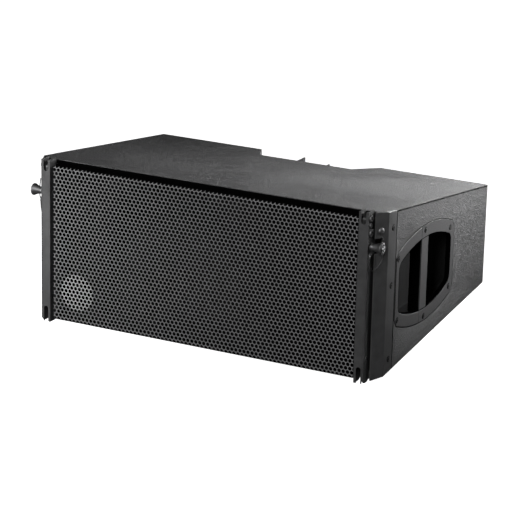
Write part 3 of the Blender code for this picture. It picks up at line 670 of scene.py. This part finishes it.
class SPEAKER_OT_cabinet(bpy.types.Operator):
    """Eases the edges of the painted panels and lays black strips of painted shade along the top
    one's side and front edges
    """
    bl_idname = "speaker.cabinet"
    bl_label = "Cabinet"

    def execute(self, context):
        edge = context.scene.speaker_cabinet.edge
        for node in ("top_panel", "bottom_panel", "side_panel_left", "side_panel_right",
                     "rear_panel_left", "rear_panel_right", "recess_panel"):
            settle(refined(node, edge, PANEL_STEPS, name=node.replace("panel", "board")),
                   "cabinet_paint", "root", node)
        fall = math.tan(WEDGE)
        # painted shade: thin black strips along the top of each side panel, under the rounded
        # top edge
        for side, label in SIDES:
            run = [(y, CAD_BOX[1].z - fall * (y - FRONT_Y)) for y in (SEAM_Y, BACK_Y - 0.0015)]
            line = outlined(f"side_edge_shade_{label}", [
                (side * (HALF_W - STRIP_ROOT), y, z - drop)
                for (y, z), drop in zip(run + run[::-1],
                                        (EDGE_SHADE_FROM, EDGE_SHADE_FROM, EDGE_SHADE_TO, EDGE_SHADE_TO))],
                RIGHT * side * (STRIP_ROOT + EDGE_SHADE_SHOW))
            settle(line, "acoustic_foam")
        # painted shade: a black strip over the lower part of the top panel's front edge
        front_shade_y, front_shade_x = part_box("top_panel")[0].y + 0.0005, HALF_W - FRONT_SHADE_INSET
        front_shade = outlined("front_edge_shade", [(-front_shade_x, front_shade_y, z) for z in FRONT_SHADE_Z]
                       + [(front_shade_x, front_shade_y, z) for z in FRONT_SHADE_Z[::-1]], (0, -0.0007, 0))
        settle(front_shade, "acoustic_foam")
        return {"FINISHED"}


# ---- grille -------------------------------------------------------------------------------
HOLE_CORNERS = 10
FOLD_BELOW_TOP, FOLD_ABOVE_FOOT = 0.0090, 0.0050
FOLD_STEPS, FOLD_BEND, FOLD_RUN = 3, math.radians(25.0), 0.0020
FOLD_SPARE = 0.014
# depth and height of each corner of the black strips behind the folds
STRIPS = (
    ("grille_sill", ((0.0020, 0.0015), (0.0160, 0.0022), (0.0160, 0.0034),
                     (0.0035, 0.0030), (0.0030, 0.0110), (0.0018, 0.0110))),
    ("grille_header", ((0.0018, 0.2880), (0.0018, 0.2915), (0.0048, 0.2955),
                       (0.0160, 0.2985), (0.0160, 0.2960), (0.0085, 0.2880))))


class SPEAKER_OT_grille(bpy.types.Operator):
    """Punches and folds the front sheet and lays the foam behind it"""
    bl_idname = "speaker.grille"
    bl_label = "Grille"

    def execute(self, context):
        look = context.scene.speaker_grille
        low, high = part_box("front_grille")
        pitch, row = look.pitch, look.pitch * math.sqrt(3) / 2
        bench()
        bpy.ops.mesh.primitive_circle_add(vertices=HOLE_CORNERS, radius=look.hole / 2,
                                          rotation=(math.pi / 2, 0, 0))
        hole = taken("hole")
        bpy.ops.mesh.primitive_circle_add(vertices=6, radius=pitch / math.sqrt(3),
                                          rotation=(math.pi / 2, 0, 0))
        cell = joined("grille_sheet", [taken("web"), hole])
        bpy.ops.object.transform_apply(rotation=True)
        edit(cell, kind="EDGE")
        bpy.ops.mesh.bridge_edge_loops()
        bench()
        across = math.ceil((high.x - low.x) / pitch) + 2
        up = math.ceil((high.z + FOLD_SPARE - low.z) / (2 * row)) + 3
        modified(cell, "ARRAY", count=across, use_relative_offset=False,
                 use_constant_offset=True, constant_offset_displace=(pitch, 0, 0))
        shifted = copied(cell, "second_row")
        shifted.data.transform(Matrix.Translation((pitch / 2, 0, row)))
        cell = joined("grille_sheet", [cell, shifted])
        modified(cell, "ARRAY", count=up, use_relative_offset=False,
                 use_constant_offset=True, constant_offset_displace=(0, 0, 2 * row))
        cell.data.transform(Matrix.Translation(
            (-(across - 0.5) * pitch / 2, low.y, low.z - 2.4 * row)))
        edit(cell, kind="VERT")
        bpy.ops.mesh.remove_doubles(threshold=1e-5)
        for place, normal in ((low, (-1, 0, 0)), (high, (1, 0, 0))):
            bpy.ops.mesh.select_all(action="SELECT")
            bpy.ops.mesh.bisect(plane_co=place, plane_no=normal, clear_outer=True)
        bench()
        for sense, fold in ((1, high.z - FOLD_BELOW_TOP), (-1, low.z + FOLD_ABOVE_FOOT)):
            for step in range(FOLD_STEPS):
                self.folded(cell, low.y, fold, step, sense)
        edit(cell, kind="VERT")
        bpy.ops.mesh.bisect(plane_co=(0, high.y, 0), plane_no=(0, 1, 0), clear_outer=True)
        bench()
        modified(cell, "SOLIDIFY", thickness=look.sheet, offset=1.0)
        done(cell, 30)
        settle(cell, "grille_paint", "root", "front_grille")

        for name, points in STRIPS:
            strip = outlined(name, [(low.x + 0.001, low.y + y, low.z + z) for y, z in points],
                             (high.x - low.x - 0.002, 0, 0))
            settle(rounded(strip, 0.0003, 2), "acoustic_foam")

        foam = refined("grille_foam", 0.0015, 2, name="foam_sheet")
        settle(foam, "acoustic_foam", "root", "grille_foam")
        return {"FINISHED"}

    @staticmethod
    def folded(sheet, face_y, fold, step, sense):
        """One of the small bends that together lay an edge back, above (1) or below (-1)."""
        def along(lean):
            return Vector((0, math.sin(lean), sense * math.cos(lean)))

        place = Vector((0, face_y, fold))
        for earlier in range(step):
            place += along(FOLD_BEND * (earlier + 1)) * FOLD_RUN
        ahead = along(FOLD_BEND * step)
        turn = (Matrix.Translation(place) @ Matrix.Rotation(-sense * FOLD_BEND, 4, "X")
                @ Matrix.Translation(-place))
        for vertex in sheet.data.vertices:
            if (vertex.co - place).dot(ahead) > 0:
                vertex.co = turn @ vertex.co


# ---- front rigging ------------------------------------------------------------------------
FLANGE_SCREWS = (0.033, 0.168, 0.273)
FLANGE_SCREW_Y = FRONT_Y + 0.059
SEAM_WIDTH, SEAM_Z = 0.0018, (0.0105, 0.2990)
# depth, height, radius and thickness of the bolt heads on a strand
STRAND_BOLTS = ((0.0085, 0.2985, 0.0062, 0.0028), (0.0085, 0.2860, 0.0045, 0.0022))
BUSH_Y, BUSH_Z = FRONT_Y + 0.0111, 0.045
STUD_SEAT, STUD_NORMAL = (0.3422, FRONT_Y + 0.0264, 0.2735), (0.0249, -0.0136, 0.0)


class SPEAKER_OT_front_rigging(bpy.types.Operator):
    """Finishes the front strands, corner plates, links and their screws"""
    bl_idname = "speaker.front_rigging"
    bl_label = "Front rigging"

    def execute(self, context):
        for side, label in SIDES:
            out = RIGHT * side
            settle(refined(f"front_strand_{label}", 0.0006, 2, name=f"strand_{label}"),
                   "rigging_paint", "root", f"front_strand_{label}")
            settle(refined(f"corner_plate_{label}", 0.0005, 2, name=f"bevel_plate_{label}"),
                   "rigging_paint", "root", f"corner_plate_{label}")
            settle(refined(f"front_link_{label}", 0.0006, 2, name=f"link_bar_{label}"),
                   "link_steel", f"front_link_{label}", f"front_link_{label}")
            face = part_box(f"front_strand_{label}")[1 if side > 0 else 0].x
            seats = [facing(out, (side * (HALF_W - 0.0002), FLANGE_SCREW_Y, z))
                     for z in FLANGE_SCREWS]
            heads = [screw(f"flange_screw_{label}_{i}", seat, 0.0042, 0.0012, 0.0019)
                     for i, seat in enumerate(seats)]
            settle(joined(f"flange_screws_{label}", heads), "link_steel")
            rings = [screw_seat(f"flange_seat_{label}_{i}", seat, 0.0056)
                     for i, seat in enumerate(seats)]
            settle(joined(f"flange_screw_seats_{label}", rings), "acoustic_foam")
            foot, head = SEAM_Z
            seam = outlined(f"flange_seam_{label}", [
                (side * (HALF_W - STRIP_ROOT), y, z) for y, z in (
                    (SEAM_Y, foot), (SEAM_Y + SEAM_WIDTH, foot),
                    (SEAM_Y + SEAM_WIDTH, head), (SEAM_Y, head))],
                RIGHT * side * (STRIP_ROOT + GAP_SHOW))
            settle(seam, "acoustic_foam")
            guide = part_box(f"guide_bolt_{label}")
            middle = (guide[0] + guide[1]) / 2
            bolts = [screw(f"strand_bolt_{label}_{i}", facing(out, (face, FRONT_Y + y, z)),
                           radius, height, radius * 0.5)
                     for i, (y, z, radius, height) in enumerate(STRAND_BOLTS)]
            settle(joined(f"strand_bolts_{label}", bolts), "rigging_paint")
            on_guide = facing(out, (face, middle.y, middle.z))
            guide_head = screw(f"guide_bolt_head_{label}", on_guide, 0.0070, 0.0030, 0.0030)
            shank = turned(f"guide_bolt_shank_{label}", [
                (0.0030, -0.0180), (0.0032, -0.0176), (0.0032, 0.0005)], on_guide, 24)
            settle(joined(f"guide_screw_{label}", [guide_head, shank]), "rigging_paint", "root",
                   f"guide_bolt_{label}")
            bush = turned(f"coupling_bush_{label}", [
                (0.0026, -0.0010), (0.0026, 0.0004), (0.0034, 0.0007), (0.0040, 0.0003),
                (0.0040, -0.0030)], facing(out, (face, BUSH_Y, BUSH_Z)), 28)
            settle(bush, "button_steel")
            mirrored = Matrix.Scale(side, 4, RIGHT)
            normal = (mirrored @ Vector(STUD_NORMAL)).normalized()
            seat = mirrored @ Vector(STUD_SEAT)
            stud = turned(f"lanyard_stud_{label}", [
                (0.0062, 0.0002), (0.0062, 0.0009), (0.0056, 0.0020), (0.0046, 0.0028),
                (0.0030, 0.0034), (0.0024, 0.0035), (0.0022, 0.0030)],
                facing(normal, seat), 36)
            settle(stud, "pin_steel", "root", f"lanyard_screw_{label}")
        return {"FINISHED"}


# ---- pins ---------------------------------------------------------------------------------
KNOB = ((0.0038, 0.0165), (0.0053, 0.0168), (0.0056, 0.0236), (0.0062, 0.0240),
        (0.0090, 0.0240), (0.0102, 0.0237), (0.0110, 0.0228), (0.0110, 0.0206),
        (0.0106, 0.0196), (0.0093, 0.0178), (0.0078, 0.0135), (0.0070, 0.0105),
        (0.0065, 0.0070), (0.0063, 0.0042), (0.0066, 0.0030), (0.0066, 0.0016),
        (0.0060, 0.0010))


KNOB_REACH = 0.0240
BALL_RADIUS, BALL_OFFSET, BALL_FROM_TIP = 0.0009, 0.0029, 0.0035


class SPEAKER_OT_pins(bpy.types.Operator):
    """Turns the ball-lock pins and their release buttons"""
    bl_idname = "speaker.pins"
    bl_label = "Locking pins"

    def execute(self, context):
        for side, label in (*SIDES, (1, "rear")):
            low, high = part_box(f"locking_pin_{label}")
            tip, head = (low.x, high.x) if side > 0 else (high.x, low.x)
            seat = Vector((head - side * KNOB_REACH, (low.y + high.y) / 2, (low.z + high.z) / 2))
            reach = abs(seat.x - tip)
            place = facing(RIGHT * side, seat)
            shaft = turned(f"pin_shaft_{label}", [
                (0.0020, -reach), (0.0028, -reach + 0.0008), (0.0032, -reach + 0.0020),
                (0.0032, 0.0014)], place, 32)
            grip = turned(f"pin_knob_{label}", list(KNOB), place, 48)
            balls = []
            for turn in (0.0, math.pi):
                bench()
                bpy.ops.mesh.primitive_uv_sphere_add(
                    segments=16, ring_count=8, radius=BALL_RADIUS,
                    location=(BALL_OFFSET * math.cos(turn), BALL_OFFSET * math.sin(turn),
                              BALL_FROM_TIP - reach))
                ball = taken(f"pin_ball_{label}")
                bpy.ops.object.transform_apply(location=True)
                balls.append(placed(ball, place))
            settle(joined(f"pin_{label}", [grip, shaft, *balls]), "pin_steel",
                   f"locking_pin_{label}", f"locking_pin_{label}")
            low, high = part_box(f"pin_button_{label}")
            face = high.x if side > 0 else low.x
            button = turned(f"button_{label}", [
                (0.0048, -0.0072), (0.0048, -0.0014), (0.0045, -0.0007), (0.0036, -0.0001),
                (0.0026, 0.0), (0.0022, -0.0003)],
                facing(RIGHT * side, (face, (low.y + high.y) / 2, (low.z + high.z) / 2)), 36)
            settle(button, "button_steel", f"pin_button_{label}", f"pin_button_{label}")
        return {"FINISHED"}


# ---- handles ------------------------------------------------------------------------------
# depth and height of the screws in a handle frame
HANDLE_SCREWS = ((0.085, 0.209), (0.197, 0.234), (0.308, 0.211), (0.311, 0.098),
                 (0.203, 0.071), (0.088, 0.096))


BEZEL_LIFT, GAP_WIDTH, GAP_SHOW = 0.0006, 0.0015, 0.0002


class SPEAKER_OT_handles(bpy.types.Operator):
    """Finishes the handle frames, finger cups and their screws"""
    bl_idname = "speaker.handles"
    bl_label = "Handles"

    def execute(self, context):
        for side, label in SIDES:
            gaps = []
            for part in ("front_frame", "rear_frame"):
                node = f"handle_{part}_{label}"
                bezel = refined(node, 0.0010, 3, name=f"bezel_{part}_{label}")
                bezel.data.transform(Matrix.Translation(RIGHT * side * BEZEL_LIFT))
                gaps.append(self.gap(node, side, f"gap_{part}_{label}"))
                settle(bezel, "handle_moulding", "root", node)
            settle(joined(f"handle_gap_{label}", gaps), "acoustic_foam")
            # the finger cups take the darker copy of the moulding, painted shade inside them
            settle(refined(f"handle_cup_{label}", 0.0008, 2, name=f"finger_cup_{label}",
                           angle=40.0), "handle_moulding", "root", f"handle_cup_{label}",
                   look="cup_painted_shade")
            seats = [facing(RIGHT * side, (side * (HALF_W + BEZEL_LIFT - 0.0003),
                                           FRONT_Y + y, z))
                     for y, z in HANDLE_SCREWS]
            heads = [screw(f"handle_screw_{label}_{i}", seat, 0.0040, 0.0014, 0.0018)
                     for i, seat in enumerate(seats)]
            settle(joined(f"handle_screws_{label}", heads), "link_steel")
            rings = [screw_seat(f"handle_seat_{label}_{i}", seat, 0.0054)
                     for i, seat in enumerate(seats)]
            settle(joined(f"handle_screw_seats_{label}", rings), "acoustic_foam")
        return {"FINISHED"}

    @staticmethod
    def gap(node, side, name):
        """The dark gap round a frame: its outline a little wider, sunk behind the frame."""
        piece = refined(node, 0.0, name=name)
        edit(piece)
        bpy.ops.transform.shrink_fatten(value=GAP_WIDTH, use_even_offset=True)
        bench()
        for vertex in piece.data.vertices:
            out = side * vertex.co.x
            on_face = out > HALF_W + GAP_WIDTH * 0.8
            vertex.co.x = side * (HALF_W + GAP_SHOW if on_face else out - 2 * GAP_WIDTH)
        return piece


# ---- rear ---------------------------------------------------------------------------------
class SPEAKER_OT_rear(bpy.types.Operator):
    """Finishes the rear strand, its link and the socket plate"""
    bl_idname = "speaker.rear"
    bl_label = "Rear rigging and sockets"

    def execute(self, context):
        settle(refined("rear_strand", 0.0006, 2, name="rear_channel"), "rigging_paint", "root",
               "rear_strand")
        settle(refined("rear_link", 0.0008, 2, name="rear_link_bar"), "link_steel",
               "rear_link", "rear_link")
        settle(refined("rear_pivot_bolt", 0.0005, 2, name="rear_pivot"), "rigging_paint",
               "root", "rear_pivot_bolt")
        plate = refined("connector_plate", 0.0005, 2, name="socket_plate")
        settle(plate, "rigging_paint", "root", "connector_plate")
        low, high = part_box("connector_plate")
        heads = [screw(f"plate_screw_{i}", facing(BACK, (x, high.y, z)), 0.0032, 0.0014, 0.0014)
                 for i, (x, z) in enumerate(
                     (x, z) for x in (low.x + 0.006, high.x - 0.006)
                     for z in (low.z + 0.006, high.z - 0.006))]
        settle(joined("plate_screws", heads), "rigging_paint")
        for node in ("input_socket", "output_socket"):
            low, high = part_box(node)
            middle = (low + high) / 2
            ring = turned(f"{node}_ring", [
                (0.0118, 0.0), (0.0118, 0.0018), (0.0148, 0.0020), (0.0148, 0.0038),
                (0.0142, 0.0044), (0.0098, 0.0044), (0.0092, 0.0040), (0.0090, 0.0012)],
                facing(BACK, (middle.x, low.y, middle.z)), 48)
            settle(ring, "handle_moulding", "root", node)
        return {"FINISHED"}


# ---- inside -------------------------------------------------------------------------------
class SPEAKER_OT_inside(bpy.types.Operator):
    """Gives the drivers, baffles and crossover their finishes"""
    bl_idname = "speaker.inside"
    bl_label = "Inside"

    def execute(self, context):
        slots = {part["node"]: part["material_slot"] for part in frame["record"]["subparts"]}
        for name, piece in frame["nodes"].items():
            piece.data.materials.clear()
            piece.data.materials.append(finish(slots[name]))
        return {"FINISHED"}


class SPEAKER_PT_pieces(bpy.types.Panel):
    """Shows the loudspeaker's settings and the buttons of its building steps"""
    bl_idname = "SPEAKER_PT_pieces"
    bl_label = "Loudspeaker"
    bl_space_type = "VIEW_3D"
    bl_region_type = "UI"
    bl_category = "Loudspeaker"

    def draw(self, context):
        for look in ("speaker_stage", "speaker_cabinet", "speaker_grille"):
            settings = getattr(context.scene, look)
            for key in settings.__annotations__:
                self.layout.prop(settings, key)
        for step in STEPS:
            self.layout.operator(step.bl_idname)


STEPS = (SPEAKER_OT_stage, SPEAKER_OT_lanyards, SPEAKER_OT_cabinet, SPEAKER_OT_grille,
         SPEAKER_OT_front_rigging, SPEAKER_OT_pins, SPEAKER_OT_handles, SPEAKER_OT_rear,
         SPEAKER_OT_inside)
LOOKS = {"speaker_stage": StageLook, "speaker_cabinet": CabinetLook,
         "speaker_grille": GrilleLook}


def register():
    for kind in (*LOOKS.values(), *STEPS, SPEAKER_PT_pieces):
        bpy.utils.register_class(kind)
    for name, kind in LOOKS.items():
        setattr(bpy.types.Scene, name, bpy.props.PointerProperty(type=kind))


def unregister():
    for name in LOOKS:
        delattr(bpy.types.Scene, name)
    for kind in (SPEAKER_PT_pieces, *STEPS[::-1], *LOOKS.values()):
        bpy.utils.unregister_class(kind)


def main():
    register()
    for step in STEPS:
        group, action = step.bl_idname.split(".")
        getattr(getattr(bpy.ops, group), action)()
    bpy.context.view_layer.update()


if __name__ == "__main__":
    main()
